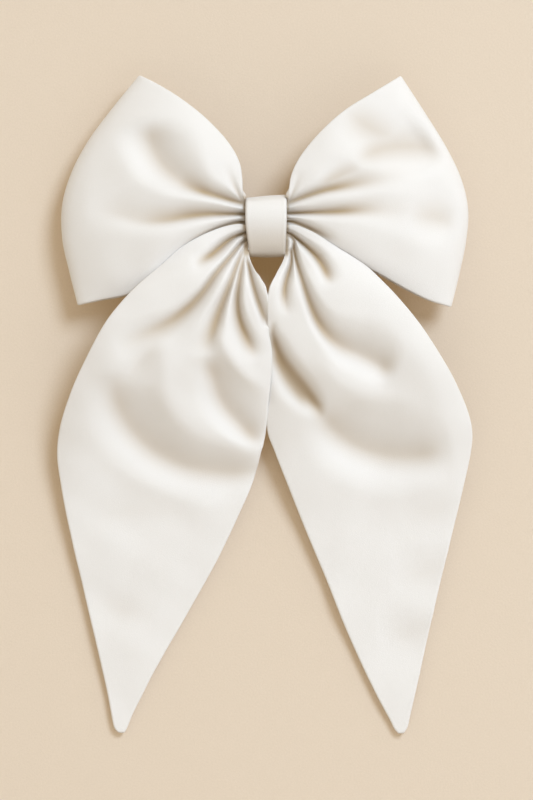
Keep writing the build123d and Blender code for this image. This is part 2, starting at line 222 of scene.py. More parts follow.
def grid_normals(grid):
    """Unit normals of a grid of points."""
    du = np.gradient(grid, axis=0)
    dv = np.gradient(grid, axis=1)
    n = np.cross(du, dv)
    return n / np.maximum(np.linalg.norm(n, axis=-1, keepdims=True), 1e-12)


def smoothstep(t):
    """0 below 0, 1 above 1 and an S between."""
    t = np.clip(t, 0, 1)
    return t * t * (3 - 2 * t)


# ---------------------------------------------------------------- meshes


def new_mesh(name, points, faces, painted_shade=None):
    """Mesh object from points in millimetres. The last argument gives each point's painted shade, from 0
    to 1.
    """
    mesh = bpy.data.meshes.new(name)
    mesh.from_pydata([tuple(p) for p in np.asarray(points) * MM], [], faces)
    mesh.update()
    mesh.polygons.foreach_set("use_smooth", [True] * len(mesh.polygons))
    # The painted shade is stored in a point attribute that the satin material reads
    if painted_shade is not None:
        shade = mesh.attributes.new("painted_shade", "FLOAT", "POINT")
        shade.data.foreach_set("value", painted_shade.astype(np.float32).ravel())
    obj = bpy.data.objects.new(name, mesh)
    bpy.context.scene.collection.objects.link(obj)
    return obj


def grid_faces(rows, columns, start=0, closed=False):
    """Quads of a grid. A closed grid joins its last column to its first."""
    faces = []
    for i in range(rows - 1):
        for j in range(columns if closed else columns - 1):
            k = (j + 1) % columns
            a = start + i * columns
            faces.append((a + j, a + k, a + columns + k, a + columns + j))
    return faces


SEAM_STEPS = 5  # points round a seam, between the two sides
SEAM_SPAN = 4  # columns that give a seam its outward direction
SEAM_ROUNDS = 6


def seam_direction(out):
    """Unit directions out over a seam, evened along it."""
    for _ in range(SEAM_ROUNDS):
        out = (np.roll(out, 1, axis=0) + out + np.roll(out, -1, axis=0)) / 3
        out[0], out[-1] = out[1], out[-2]
    return out / np.maximum(np.linalg.norm(out, axis=-1, keepdims=True), 1e-9)


def cloth_shell(name, face, back, roll, painted_shade):
    """Closed double sheet: a face side, a rolled seam all round its long edges and a back side.

    face and back are grids: rows along the sheet, columns across it. roll is how far the seam stands out.
    """
    rows, columns = face.shape[:2]
    out_a = seam_direction(face[:, 0] - face[:, SEAM_SPAN])
    out_b = seam_direction(face[:, -1] - face[:, -1 - SEAM_SPAN])
    turn = [math.pi * (k + 1) / (SEAM_STEPS + 1) for k in range(SEAM_STEPS)]
    rim_b = []
    rim_a = []
    for angle in turn:
        middle_b = (face[:, -1] + back[:, -1]) / 2
        arm_b = (face[:, -1] - back[:, -1]) / 2
        rim_b.append(middle_b + arm_b * math.cos(angle) + out_b * roll * math.sin(angle))
        middle_a = (face[:, 0] + back[:, 0]) / 2
        arm_a = (back[:, 0] - face[:, 0]) / 2
        rim_a.append(middle_a + arm_a * math.cos(angle) + out_a * roll * math.sin(angle))
    ring = np.concatenate([face, np.stack(rim_b, 1), back[:, ::-1], np.stack(rim_a, 1)], axis=1)
    count = ring.shape[1]
    faces = grid_faces(rows, count, closed=True)
    points = ring.reshape(-1, 3)
    rim = np.ones((1, SEAM_STEPS))
    # The face's painted shade, carried round the seams and onto the back side
    depth = np.concatenate([painted_shade, painted_shade[:, -1:] * rim, painted_shade[:, ::-1], painted_shade[:, :1] * rim], axis=1)
    for row in (0, rows - 1):
        start = row * count
        for j in range(count // 2):
            a, b = start + j, start + j + 1
            c, d = start + count - 1 - j, start + (count - j) % count
            quad = list(dict.fromkeys([a, b, c, d]))
            if len(quad) > 2:
                faces.append(tuple(quad if row else quad[::-1]))
    return new_mesh(name, points, faces, depth)


# ---------------------------------------------------------------- loops
LOOP_ROWS = 190
LOOP_COLUMNS = 84
SHEET_THICK = 1.3
SEAM_ROLL = 0.9
ROLL_ROWS = 0.1  # share of the rows in which a seam grows to its full roll
LINING_THICK = 0.34
LINING_GAP = 0.04
LINING_ROLL = 0.1
LINING_MARGIN = 2  # columns by which the lining stays clear of the seams

# Plan of a loop (distance out from the waist, y): front run, outer fold, back run
LOOP_PLAN = [
    (0.0, -15.2),
    (12.0, -17.8),
    (28.0, -20.6),
    (46.0, -20.6),
    (66.0, -14.4),
    (77.5, -7.6),
    (80.0, -2.6),
    (76.5, 1.6),
    (66.0, 3.4),
    (46.0, 1.2),
    (26.0, -3.2),
    (0.0, -6.8),
]
LOOP_REACH = 80.0
LOOP_MIDDLE_Y = -6.0
LOOP_PINCH = 0.42  # share of a loop's depth that is lost at its top and bottom rims
LOOP_SOFT_END = 0.12  # share of the reach in which folds die out towards the outer fold
LOOP_WAVES = 0.6
LOOP_GAP = 0.5  # clearance to the tails lying on a loop
LOOP_SMOOTHING = 10

LEFT_LOOP = {
    "bottom": [
        (-8.5, -0.5), (-30.0, -15.5), (-50.0, -26.5), (-64.0, -30.8), (-75.0, -32.8), (-85.0, -34.9),
    ],
    "top": [
        (-8.5, 9.6), (-10.2, 13.0), (-10.8, 20.0), (-12.4, 28.0), (-17.5, 37.0), (-26.5, 46.8),
        (-37.2, 55.4), (-47.8, 62.2), (-57.6, 67.4),
    ],
    "waist": [(-8.5, -0.5), (-8.5, 9.6)],
    "fold": [
        (-85.0, -34.9), (-88.6, -20.7), (-91.8, -6.0), (-91.9, 9.5), (-87.8, 24.0), (-80.0, 38.7),
        (-69.0, 53.5), (-57.6, 67.4),
    ],
}
RIGHT_LOOP = {
    "bottom": [(8.5, -0.5), (30.0, -11.5), (49.5, -20.6), (62.0, -27.4), (73.5, -32.8), (83.6, -35.7)],
    "top": [
        (8.5, 9.6), (9.8, 12.0), (11.2, 20.7), (15.3, 29.7), (24.3, 41.0), (35.6, 50.9), (49.0, 59.4),
        (61.2, 67.0),
    ],
    "waist": [(8.5, -0.5), (8.5, 9.6)],
    "fold": [
        (83.6, -35.7), (87.0, -22.0), (90.2, -6.3), (91.1, 7.2), (88.2, 20.7), (81.5, 35.1),
        (71.5, 51.3), (61.2, 67.0),
    ],
}
# Folds: lines of (x, z, depth, width, lean)
LEFT_LOOP_FOLDS = [
    [
        (-8.5, 9.8, 2.0, 0.5, 0), (-11.4, 12.1, 2.2, 0.6, 0), (-13.2, 15.4, 2.0, 0.9, 0),
        (-15.4, 20.5, 1.2, 1.5, 0), (-18.0, 27.0, 0.0, 2.4, 0),
    ],
    [
        (-7, 9.4, 5.0, 1.0, 0), (-11.3, 10.1, 5.6, 1.1, 0), (-18.0, 11.7, 6.0, 1.5, -0.3),
        (-26.2, 14.0, 6.2, 2.2, -0.4), (-32.0, 16.2, 6.6, 3.4, -0.4), (-39.0, 20.2, 7.4, 5.0, -0.3),
        (-46.0, 26.8, 8.0, 6.4, -0.2), (-50.5, 35.5, 7.0, 7.0, -0.1), (-52.0, 47.0, 0.0, 7.0, 0),
    ],
    [
        (-7, 5.4, 5.0, 1.0, 0), (-10.5, 5.2, 5.8, 1.0, 0), (-18.0, 5.0, 6.2, 1.3, -0.2),
        (-27.0, 4.7, 6.4, 2.0, -0.3), (-36.0, 3.6, 6.2, 2.9, -0.4), (-45.0, 2.0, 4.8, 3.8, -0.5),
        (-56.0, 2.0, 3.2, 5.0, -0.5), (-68.0, 5.5, 2.0, 6.0, -0.4), (-80.0, 8.0, 0.0, 6.0, 0),
    ],
    [
        (-7, 1.6, 4.0, 1.0, 0), (-12.0, 1.4, 4.2, 1.0, 0), (-20.0, -1.0, 4.0, 1.2, 0),
        (-29.0, -5.2, 3.0, 1.6, 0), (-38.0, -10.6, 0.0, 2.0, 0),
    ],
    [(-58.0, 30.0, 0.0, 7.0, 0), (-70.0, 24.0, 0.9, 8.0, 0), (-82.0, 20.0, 0.0, 8.0, 0)],
    [(-44.0, -16.0, 0.0, 5.0, 0), (-58.0, -17.0, 0.8, 6.0, 0), (-70.0, -22.0, 0.0, 6.0, 0)],
]
RIGHT_LOOP_FOLDS = [
    [
        (34.0, 54.0, 0.0, 7.0, 0), (43.0, 46.0, 3.4, 7.5, 0), (53.0, 41.0, 3.0, 7.5, 0),
        (64.0, 40.0, 0.0, 7.0, 0),
    ],
    [
        (8.5, 9.8, 1.6, 0.5, 0), (10.8, 12.1, 1.8, 0.6, 0), (12.8, 16.5, 1.2, 1.0, 0),
        (16.0, 25.0, 0.0, 2.0, 0),
    ],
    [
        (7, 9.4, 5.0, 1.0, 0), (10.5, 10.3, 5.6, 1.0, 0), (17.6, 12.7, 5.8, 1.3, 0.2),
        (25.8, 15.2, 5.2, 1.8, 0.3), (34.0, 17.0, 4.0, 2.8, 0.3), (44.0, 19.0, 2.8, 4.0, 0.3),
        (56.0, 21.5, 1.6, 5.4, 0.2), (68.0, 25.0, 0.0, 6.0, 0),
    ],
    [
        (21.0, 16.4, 0.0, 1.4, 0), (28.0, 19.6, 2.0, 2.2, 0.3), (37.0, 23.6, 2.0, 3.0, 0.3),
        (46.0, 26.0, 0.0, 3.6, 0),
    ],
    [
        (7, 5.4, 5.0, 1.0, 0), (11.0, 5.5, 5.8, 1.0, 0), (20.0, 5.7, 6.0, 1.2, 0),
        (29.0, 5.8, 5.2, 1.8, 0.1), (38.0, 6.2, 3.8, 2.8, 0.2), (48.0, 6.6, 2.6, 4.2, 0.2),
        (62.0, 6.0, 1.4, 6.0, 0), (74.0, 6.0, 0.0, 7.0, 0),
    ],
    [
        (7, 1.8, 4.0, 1.0, 0), (11.0, 1.8, 4.4, 1.0, 0), (16.0, 0.2, 4.2, 1.2, 0),
        (23.0, -3.2, 3.6, 1.6, 0), (32.0, -8.2, 0.0, 2.0, 0),
    ],
    [
        (38.0, 27.0, 0.0, 4.0, 0), (50.0, 33.5, 5.0, 6.4, 0.1), (62.0, 35.5, 7.2, 7.0, 0.1),
        (73.0, 35.0, 6.0, 6.0, 0.1), (83.0, 31.0, 0.0, 4.0, 0),
    ],
    [
        (60.0, 4.0, 0.0, 4.0, 0), (70.0, 4.0, 2.4, 6.4, 0.1), (79.0, 3.0, 3.0, 6.2, 0.1),
        (88.0, -3.0, 0.0, 5.0, 0),
    ],
    [(46.0, -12.0, 0.0, 5.0, 0), (60.0, -14.0, 0.8, 6.0, 0), (74.0, -20.0, 0.0, 6.0, 0)],
]
LEFT_BACK_FOLDS = [
    [(-7, 8.0, 2.0, 1.2, 0), (-24, 16.0, 2.2, 3.5, 0), (-44, 30.0, 0.0, 8.0, 0)],
    [(-7, 4.5, 2.0, 1.2, 0), (-28, 5.0, 2.2, 3.5, 0), (-52, 6.0, 0.0, 8.0, 0)],
    [(-7, 1.0, 2.0, 1.2, 0), (-26, -6.0, 2.2, 3.5, 0), (-50, -16.0, 0.0, 8.0, 0)],
]
RIGHT_BACK_FOLDS = [[(-x, *rest) for x, *rest in fold] for fold in LEFT_BACK_FOLDS]


def along_line(line, t):
    """Points at shares t of an evenly spaced line."""
    f = np.clip(t, 0, 1) * (len(line) - 1)
    k = np.clip(f.astype(int), 0, len(line) - 2)
    w = (f - k)[..., None]
    return line[k] * (1 - w) + line[k + 1] * w


def four_sided(edges, out, up):
    """Front position (x, z) in a four-sided outline, out from the waist and up from the bottom edge."""
    o, u = out[..., None], up[..., None]
    across = along_line(edges["bottom"], out) * (1 - u) + along_line(edges["top"], out) * u
    upwards = along_line(edges["waist"], up) * (1 - o) + along_line(edges["fold"], up) * o
    w0, w1 = edges["waist"][0], edges["waist"][-1]
    f0, f1 = edges["fold"][0], edges["fold"][-1]
    corners = (w0 * (1 - u) + w1 * u) * (1 - o) + (f0 * (1 - u) + f1 * u) * o
    return across + upwards - corners


def loop(name, side, outline, folds, back_folds, layers):
    """One open loop of the bow: front panel, outer fold and back panel in one double sheet."""
    edges = {key: smooth_line(value, 200) for key, value in outline.items()}
    plan = smooth_line(LOOP_PLAN, LOOP_ROWS)
    out = np.clip(plan[:, 0] / LOOP_REACH, 0, 1)[:, None] * np.ones((1, LOOP_COLUMNS))
    up = np.ones((LOOP_ROWS, 1)) * np.linspace(0, 1, LOOP_COLUMNS)[None, :]
    flat = four_sided(edges, out, up)
    x, z = flat[..., 0], flat[..., 1]
    rim = np.abs(2 * up - 1)
    pinch = LOOP_PINCH * rim**3 * smoothstep(out * 2)
    y = LOOP_MIDDLE_Y + (plan[:, 1][:, None] - LOOP_MIDDLE_Y) * (1 - pinch)
    turn = int(np.argmax(plan[:, 0]))
    front = (np.arange(LOOP_ROWS) <= turn)[:, None]
    fade = smoothstep((1 - out) / LOOP_SOFT_END)
    front_push, painted_shade = folded(x, z, folds)
    back_push, _ = folded(x, z, back_folds)
    y = y + np.where(front, front_push, -back_push) * fade + undulation(x, z, side) * fade * LOOP_WAVES
    grid = np.stack([x, relaxed(y, LOOP_SMOOTHING), z], -1)
    grid[:turn, :, 1] += pressed(grid[:turn], layers, LOOP_GAP) * fade[:turn]
    outward = grid_normals(grid) * side
    share = np.linspace(0, 1, LOOP_ROWS)
    roll = SEAM_ROLL * smoothstep(np.minimum(share, 1 - share) / ROLL_ROWS)
    return double_sheet(name, grid, outward, under_band(painted_shade * front * fade, x), roll)


BAND_SHADOW_X = 10.9  # the shade at the band's side starts this far from the middle
BAND_SHADOW_WIDTH = 1.6
BAND_SHADOW = 0.7


def under_band(painted_shade, x):
    """The painted fold shade, with painted shade added where a sheet runs in under the centre band."""
    shade = BAND_SHADOW * smoothstep((BAND_SHADOW_X - np.abs(x)) / BAND_SHADOW_WIDTH)
    return np.maximum(relaxed(painted_shade, 3), shade)


def double_sheet(name, grid, outward, painted_shade, roll):
    """Face and lining pieces of one sheet whose face side is grid. roll has one value for each row."""
    face = cloth_shell(name + "_face", grid, grid - outward * SHEET_THICK, roll[:, None], painted_shade)
    inside = slice(LINING_MARGIN, -LINING_MARGIN)
    near = (grid - outward * (SHEET_THICK + LINING_GAP))[:, inside]
    far = (grid - outward * (SHEET_THICK + LINING_THICK))[:, inside]
    lining = cloth_shell(name + "_lining", far, near, LINING_ROLL, painted_shade[:, inside] * 0)
    return face, lining


# ---------------------------------------------------------------- tails
TAIL_ROWS = 300
TAIL_COLUMNS = 116
# Side view of a tail (z, y)
TAIL_PROFILE = [
    (0.0, -15.5),
    (-12.0, -19.5),
    (-26.0, -23.0),
    (-45.0, -22.0),
    (-62.0, -18.0),
    (-85.0, -10.0),
    (-105.0, -4.0),
    (-130.0, 0.6),
    (-160.0, 3.0),
    (-230.0, 5.4),
]
LEFT_TAIL = {
    "outer": [
        (-6.5, -0.8), (-11.0, 0.2), (-24.3, -3.4), (-37.1, -10.0), (-47.5, -18.9), (-59.2, -29.4),
        (-70.2, -42.5), (-79.4, -58.5), (-87.6, -76.5), (-92.4, -91.8), (-93.6, -103.0),
        (-91.4, -120.0), (-87.0, -142.0), (-80.8, -168.5), (-74.6, -195.0), (-70.4, -214.0),
        (-68.6, -222.6), (-67.6, -226.4), (-66.0, -228.9),
    ],
    "inner": [
        (-6.6, -7.5), (-7.6, -12.4), (-7.0, -16.0), (-4.9, -20.6), (-1.2, -26.6), (0.0, -32.0),
        (0.2, -39.6), (0.7, -47.3), (2.0, -55.0), (2.2, -62.0), (1.3, -72.3), (0.0, -82.6),
        (-1.0, -92.5), (-4.0, -106.2), (-7.9, -117.8), (-20.8, -146.2), (-36.3, -174.5),
        (-51.8, -201.6), (-61.4, -221.0), (-63.4, -225.8), (-65.0, -228.9),
    ],
}
RIGHT_TAIL = {
    "outer": [
        (6.5, -0.8), (11.0, 0.0), (19.3, -3.2), (27.5, -7.9), (44.1, -18.2), (51.0, -24.7),
        (58.8, -33.0), (69.0, -45.6), (80.4, -63.2), (85.2, -72.0), (90.2, -83.8), (92.2, -92.5),
        (91.9, -101.0), (87.2, -123.0), (80.9, -148.7), (74.5, -175.8), (68.0, -205.5), (64.4, -221.5),
        (63.2, -226.6), (61.6, -229.2),
    ],
    "inner": [
        (7.4, -7.5), (8.4, -11.5), (8.3, -14.0), (7.2, -17.0), (5.4, -20.6), (2.4, -27.5), (1.2, -34.4),
        (1.2, -43.0), (1.1, -50.0), (0.8, -60.0), (0.2, -75.0), (0.8, -88.0), (1.6, -94.0),
        (4.1, -100.4), (7.9, -110.0), (18.2, -135.8), (28.5, -160.4), (38.9, -186.2), (50.4, -210.7),
        (57.2, -223.6), (58.9, -227.2), (60.7, -229.2),
    ],
}
LEFT_TAIL_FOLDS = [
    [
        (-7, -2.6, 4.0, 0.7, 0), (-11.0, -3.8, 4.6, 0.8, 0), (-14.5, -5.2, 5.2, 1.0, 0.1),
        (-17.8, -7.3, 5.8, 1.5, 0.2), (-21.2, -10.3, 5.8, 2.0, 0.2), (-24.6, -13.2, 4.8, 2.2, 0.2),
        (-28.2, -15.8, 2.6, 2.4, 0), (-33.0, -18.0, 0.0, 3.0, 0),
    ],
    [
        (-7, -4.8, 3.0, 0.6, 0), (-10.8, -7.8, 3.6, 0.7, 0), (-15.0, -12.8, 4.6, 0.9, 0),
        (-22.1, -21.4, 5.6, 1.3, 0.2), (-29.0, -30.6, 6.0, 1.8, 0.35), (-35.5, -37.2, 5.6, 2.5, 0.4),
        (-43.0, -42.8, 4.4, 3.4, 0.4), (-54.0, -48.5, 3.0, 4.4, 0.3), (-68.0, -55.0, 0.0, 5.0, 0),
    ],
    [
        (-7, -6.6, 1.0, 0.7, 0), (-9.9, -10.2, 1.8, 0.7, 0), (-12.6, -16.6, 4.2, 0.8, 0),
        (-15.6, -25.0, 5.6, 1.1, 0), (-18.8, -33.4, 6.4, 1.6, -0.1), (-21.4, -40.6, 5.8, 2.2, -0.2),
        (-24.4, -49.5, 3.8, 3.2, -0.2), (-29.0, -60.0, 0.0, 5.0, 0),
    ],
    [
        (-7, -8.6, 0.6, 0.7, 0), (-9.5, -12.6, 1.4, 0.7, 0), (-11.0, -18.8, 4.2, 0.8, 0),
        (-12.2, -27.5, 6.0, 1.1, -0.2), (-12.6, -35.5, 6.4, 1.6, -0.3), (-11.2, -43.5, 5.8, 2.3, -0.3),
        (-7.8, -52.0, 4.2, 2.9, -0.2), (-4.0, -60.5, 0.0, 3.4, 0),
    ],
    [
        (-7.6, -10.6, 0.0, 0.7, 0), (-8.9, -14.2, 1.2, 0.7, 0), (-7.9, -18.4, 4.0, 0.8, 0.3),
        (-6.4, -25.8, 5.6, 1.0, 0.4), (-4.2, -33.4, 5.4, 1.3, 0.4), (-1.6, -40.6, 4.0, 1.4, 0.4),
        (0.6, -46.0, 0.0, 1.4, 0),
    ],
    [
        (-68.0, -66.0, 0.0, 7.0, 0), (-66.6, -78.0, 4.0, 6.6, 0.1), (-61.0, -90.0, 6.4, 7.2, 0.15),
        (-51.0, -100.5, 7.2, 7.6, 0.15), (-37.0, -107.5, 7.0, 7.2, 0.15),
        (-20.0, -110.5, 5.6, 6.6, 0.1), (-4.0, -110.0, 2.2, 5.2, 0),
    ],
    [
        (-46.0, -50.0, 0.0, 4.0, 0), (-45.6, -64.0, -1.8, 5.0, 0), (-44.3, -80.0, -2.6, 5.6, 0),
        (-34.0, -92.5, -2.8, 5.6, 0), (-19.0, -99.0, -2.4, 5.0, 0), (-7.0, -101.0, -1.6, 4.6, 0),
    ],
    [
        (-28.0, -58.0, 0.0, 4.0, 0), (-24.0, -66.0, 4.4, 4.8, 0.1), (-20.0, -78.0, 6.4, 5.6, 0.25),
        (-13.4, -87.5, 6.6, 5.2, 0.25), (-6.5, -94.0, 4.0, 4.2, 0.2), (-1.0, -98.0, 0.0, 3.6, 0),
    ],
    [
        (-22.5, -44.0, 0.0, 3.0, 0), (-19.6, -53.0, -1.8, 3.0, 0), (-14.9, -61.7, -2.2, 3.2, 0),
        (-8.6, -68.4, -1.8, 3.2, 0), (-2.0, -73.0, -0.8, 3.0, 0),
    ],
    [
        (-62.0, -58.0, 0.0, 6.0, 0), (-70.0, -68.0, -1.4, 7.0, 0), (-78.0, -84.0, -1.2, 7.0, 0),
        (-80.0, -100.0, 0.0, 7.0, 0),
    ],
    [
        (-44.0, -48.0, 0.0, 3.6, 0), (-52.0, -57.0, 1.4, 4.0, 0.3), (-60.0, -68.0, 1.2, 4.4, 0.3),
        (-66.0, -78.0, 0.0, 5.0, 0),
    ],
    [
        (-86.0, -126.0, 0.0, 7.0, 0), (-72.0, -130.0, 1.0, 8.0, 0.1), (-52.0, -129.0, 1.2, 8.0, 0.1),
        (-30.0, -131.0, 0.0, 7.0, 0),
    ],
    [(-80.0, -166.0, 0.0, 7.0, 0), (-66.0, -173.0, 1.6, 8.0, 0.1), (-48.0, -174.0, 0.0, 7.0, 0)],
]
RIGHT_TAIL_FOLDS = [
    [
        (7, -2.4, 4.0, 0.7, 0), (11.5, -4.0, 4.8, 0.8, 0), (15.0, -6.8, 5.4, 1.1, 0),
        (19.2, -10.6, 6.0, 1.5, 0.1), (23.2, -15.2, 6.2, 2.0, 0.2), (26.6, -21.0, 4.6, 2.3, 0.2),
        (29.0, -27.0, 0.0, 2.6, 0),
    ],
    [
        (9.0, -4.4, 3.0, 0.6, 0), (11.8, -5.4, 4.2, 0.6, 0), (12.6, -7.6, 5.0, 0.6, 0),
        (12.2, -10.0, 5.0, 0.6, 0), (10.8, -11.8, 4.4, 0.6, 0), (8.0, -12.6, 3.0, 0.6, 0),
    ],
    [
        (12.4, -8.6, 4.8, 0.6, 0), (13.2, -14.2, 5.2, 0.9, 0), (15.8, -24.1, 5.8, 1.2, 0.2),
        (19.0, -34.4, 6.6, 1.7, 0.35), (22.4, -42.6, 6.8, 2.4, 0.45), (27.0, -49.4, 6.4, 3.3, 0.5),
        (34.0, -54.4, 7.6, 4.4, 0.3), (43.0, -58.6, 8.0, 5.2, 0.3), (51.0, -62.4, 6.4, 5.0, 0.2),
        (58.0, -66.0, 0.0, 4.2, 0),
    ],
    [
        (11.4, -11.6, 5.0, 0.6, 0), (11.3, -17.0, 5.8, 0.8, 0), (9.8, -22.4, 6.2, 1.2, 0),
        (8.4, -28.0, 5.0, 1.5, 0), (8.4, -34.4, 2.6, 2.0, 0), (10.0, -41.0, 0.0, 2.4, 0),
    ],
    [
        (2.7, -43.0, 0.0, 1.0, 0), (3.5, -49.6, 4.0, 1.4, -0.5), (7.0, -57.4, 6.4, 1.8, -0.6),
        (12.0, -64.2, 7.4, 2.0, -0.6), (17.2, -70.6, 7.4, 2.2, -0.6), (21.8, -77.4, 6.0, 2.4, -0.5),
        (25.2, -84.6, 2.6, 3.0, -0.3), (28.0, -92.0, 0.0, 4.0, 0),
    ],
    [
        (2.5, -46.0, 0.0, 1.6, 0), (4.0, -53.4, 4.6, 2.6, 0), (7.4, -61.4, 6.6, 3.0, 0),
        (12.2, -68.6, 7.4, 3.2, 0), (17.2, -75.2, 6.4, 3.2, 0), (22.0, -80.8, 3.6, 3.0, 0),
        (25.8, -85.6, 0.0, 3.0, 0),
    ],
    [
        (3.0, -52.0, 0.0, 2.2, 0), (5.4, -60.4, 4.8, 2.8, 0), (9.6, -68.4, 6.2, 3.2, 0),
        (14.4, -74.8, 5.4, 3.2, 0), (19.0, -79.8, 2.4, 3.0, 0), (22.8, -83.4, 0.0, 3.0, 0),
    ],
    [
        (24.0, -80.0, 0.0, 5.0, 0), (31.0, -91.0, 5.6, 6.8, 0.1), (42.0, -99.0, 8.2, 7.8, 0.15),
        (55.0, -103.0, 7.8, 8.0, 0.15), (69.0, -103.0, 5.2, 7.0, 0.1), (84.0, -101.0, 0.0, 6.0, 0),
    ],
    [
        (20.0, -56.0, 0.0, 4.0, 0), (30.0, -68.0, -2.0, 4.6, 0), (44.0, -76.0, -2.4, 5.2, 0),
        (60.0, -78.0, -1.2, 5.4, 0), (72.0, -78.0, 0.0, 5.0, 0),
    ],
    [
        (60.0, -48.0, 0.0, 6.0, 0), (70.0, -62.0, -1.4, 6.0, 0), (77.0, -80.0, -1.2, 7.0, 0),
        (80.0, -98.0, 0.0, 7.0, 0),
    ],
    [(88.0, -122.0, 0.0, 7.0, 0), (76.0, -129.0, 1.2, 7.0, 0.1), (60.0, -131.0, 0.0, 7.0, 0)],
    [(84.0, -150.0, 0.0, 7.0, 0), (71.0, -157.0, 1.4, 7.0, 0.1), (56.0, -157.0, 0.0, 7.0, 0)],
    [(78.0, -178.0, 0.0, 6.0, 0), (65.0, -184.0, 1.4, 6.4, 0.1), (50.0, -184.0, 0.0, 6.0, 0)],
]
TAIL_LINE_STEPS = 400
TAIL_CROWDING = 1.25  # rows lie closer together near the knot
KNOT_CORNER = (7.5, -6.5)  # where a tail's pleats meet, at the side of the band
TUCKED_Y = -14.8  # under the band, at a tail's outer edge
TUCKED_STEP = 4.4  # and this much further back at its inner edge
TUCK_START = 0.12
TUCK_REACH = 26  # about this far from the knot corner a tail has come out to its side view
RIM_SHARE = 0.10  # width of the turned-back rims, as a share of the tail's width
OUTER_RIM = 3.6
INNER_RIM = 3.0
# A rim starts at a top z, is full this much lower, and fades over this length towards a bottom z
OUTER_RIM_RUN = (-2, 14, 70, -150)
INNER_RIM_RUN = (-30, 20, 50, -140)
TAIL_WAVES = 0.7
WAVES_REACH = 60  # the long waves are full this far from the knot corner
TAIL_GAP = 0.4
TAIL_SMOOTHING = 12
PAINTED_SHADE_SMOOTHING = 8
# Distances from the knot corner at which these end, and how softly
STRAIGHT_BACK = (20, 8)
BAND_SHADE = (14, 4)
BAND_SHADE_BOTTOM = (-15, 3)  # and the lowest z of the band's shade


def rim_strength(z, top, growth, fade, bottom):
    """1 along the main part of a rim, 0 above its top and below its bottom."""
    return smoothstep((top - z) / growth) * smoothstep((z - bottom) / fade)


def tail(name, side, outline, folds, layers=()):
    """One pointed tail in a double sheet, from the pleats under the band to its tip."""
    outer = smooth_line(outline["outer"], TAIL_LINE_STEPS)
    inner = smooth_line(outline["inner"], TAIL_LINE_STEPS)
    v = np.linspace(0, 1, TAIL_ROWS) ** TAIL_CROWDING
    u = np.linspace(0, 1, TAIL_COLUMNS)[None, :, None]
    flat = along_line(outer, v)[:, None] * (1 - u) + along_line(inner, v)[:, None] * u
    x, z = flat[..., 0], flat[..., 1]
    profile = smooth_line([(-z0, y0) for z0, y0 in TAIL_PROFILE], 200)
    y = np.interp(-z, profile[:, 0], profile[:, 1])
    reach = np.hypot(x - side * KNOT_CORNER[0], z - KNOT_CORNER[1])
    from_outer = u[..., 0] * np.ones_like(x)
    tucked = TUCKED_Y + TUCKED_STEP * from_outer
    y = tucked + (y - tucked) * smoothstep(TUCK_START + reach / TUCK_REACH)
    y += OUTER_RIM * np.exp(-from_outer / RIM_SHARE) * rim_strength(z, *OUTER_RIM_RUN)
    y += INNER_RIM * np.exp(-(1 - from_outer) / RIM_SHARE) * rim_strength(z, *INNER_RIM_RUN)
    push, painted_shade = folded(x, z, folds)
    painted_shade = relaxed(painted_shade, PAINTED_SHADE_SMOOTHING)
    y += push + undulation(x, z, side + 2) * smoothstep(reach / WAVES_REACH) * TAIL_WAVES
    grid = np.stack([x, relaxed(y, TAIL_SMOOTHING), z], -1)
    grid[..., 1] += pressed(grid, layers, TAIL_GAP)
    # Close to the band the sheet's thickness runs straight back, so its narrow pleats stay whole
    by_band = smoothstep((STRAIGHT_BACK[0] - reach) / STRAIGHT_BACK[1])[..., None]
    outward = grid_normals(grid) * (-side) * (1 - by_band) + np.array([0, -1, 0]) * by_band
    back = grid + (0, SHEET_THICK + LINING_THICK, 0)
    tree = BVHTree.FromPolygons(back.reshape(-1, 3).tolist(), grid_faces(TAIL_ROWS, TAIL_COLUMNS))
    # Near the knot, the painted shade at the band's side is laid over the painted fold shade
    near_knot = smoothstep((BAND_SHADE[0] - reach) / BAND_SHADE[1])
    near_knot *= smoothstep((z - BAND_SHADE_BOTTOM[0]) / BAND_SHADE_BOTTOM[1])
    painted_shade = painted_shade * (1 - near_knot) + under_band(painted_shade, x) * near_knot
    roll = SEAM_ROLL * smoothstep(np.linspace(0, 1, TAIL_ROWS) / ROLL_ROWS)
    return (*double_sheet(name, grid, outward, painted_shade, roll), tree)


left_tail = tail("tail_left", -1, LEFT_TAIL, LEFT_TAIL_FOLDS)
right_tail = tail("tail_right", 1, RIGHT_TAIL, RIGHT_TAIL_FOLDS, [left_tail[2]])
tails = [left_tail[2], right_tail[2]]
left_loop = loop("loop_left", -1, LEFT_LOOP, LEFT_LOOP_FOLDS, LEFT_BACK_FOLDS, tails)
right_loop = loop("loop_right", 1, RIGHT_LOOP, RIGHT_LOOP_FOLDS, RIGHT_BACK_FOLDS, tails)

# ---------------------------------------------------------------- centre band
# Section of the band (y, z): down its front, up its back and over the top
BAND_OUTLINE = [
    (-12.6, 12.5), (-16.4, 10.6), (-18.4, 7.6), (-18.9, 4.0), (-18.2, -0.6), (-16.6, -5.4),
    (-14.5, -10.0), (-12.0, -13.0), (-8.6, -14.0), (-4.8, -12.4), (-1.5, -6.4), (-1.3, 0.0),
    (-1.5, 6.4), (-4.8, 11.8), (-8.6, 13.1), (-12.8, 12.5),
]
BAND_HALF_WIDTH = 9.3
BAND_HALF_HEIGHT = 13.7
BAND_THICK = 1.0
BAND_CROWN = 0.3
BAND_LAP = 0.35  # the back of the hem is this much narrower than its face
HEM_PLACE = 0.9  # in half widths from the middle
HEM_WIDTH = 0.06
HEM_HEIGHT = 0.12
EDGE_START = 0.88
EDGE_DROP = 0.85
BAND_FRONT_Y = -8  # points before this y belong to the band's front
BAND_TAPER = (1.6, 0.6)  # how far the left and right sides draw in at the bottom
BAND_TILT = 0.085  # the upper edge rises this much for each millimetre to the right
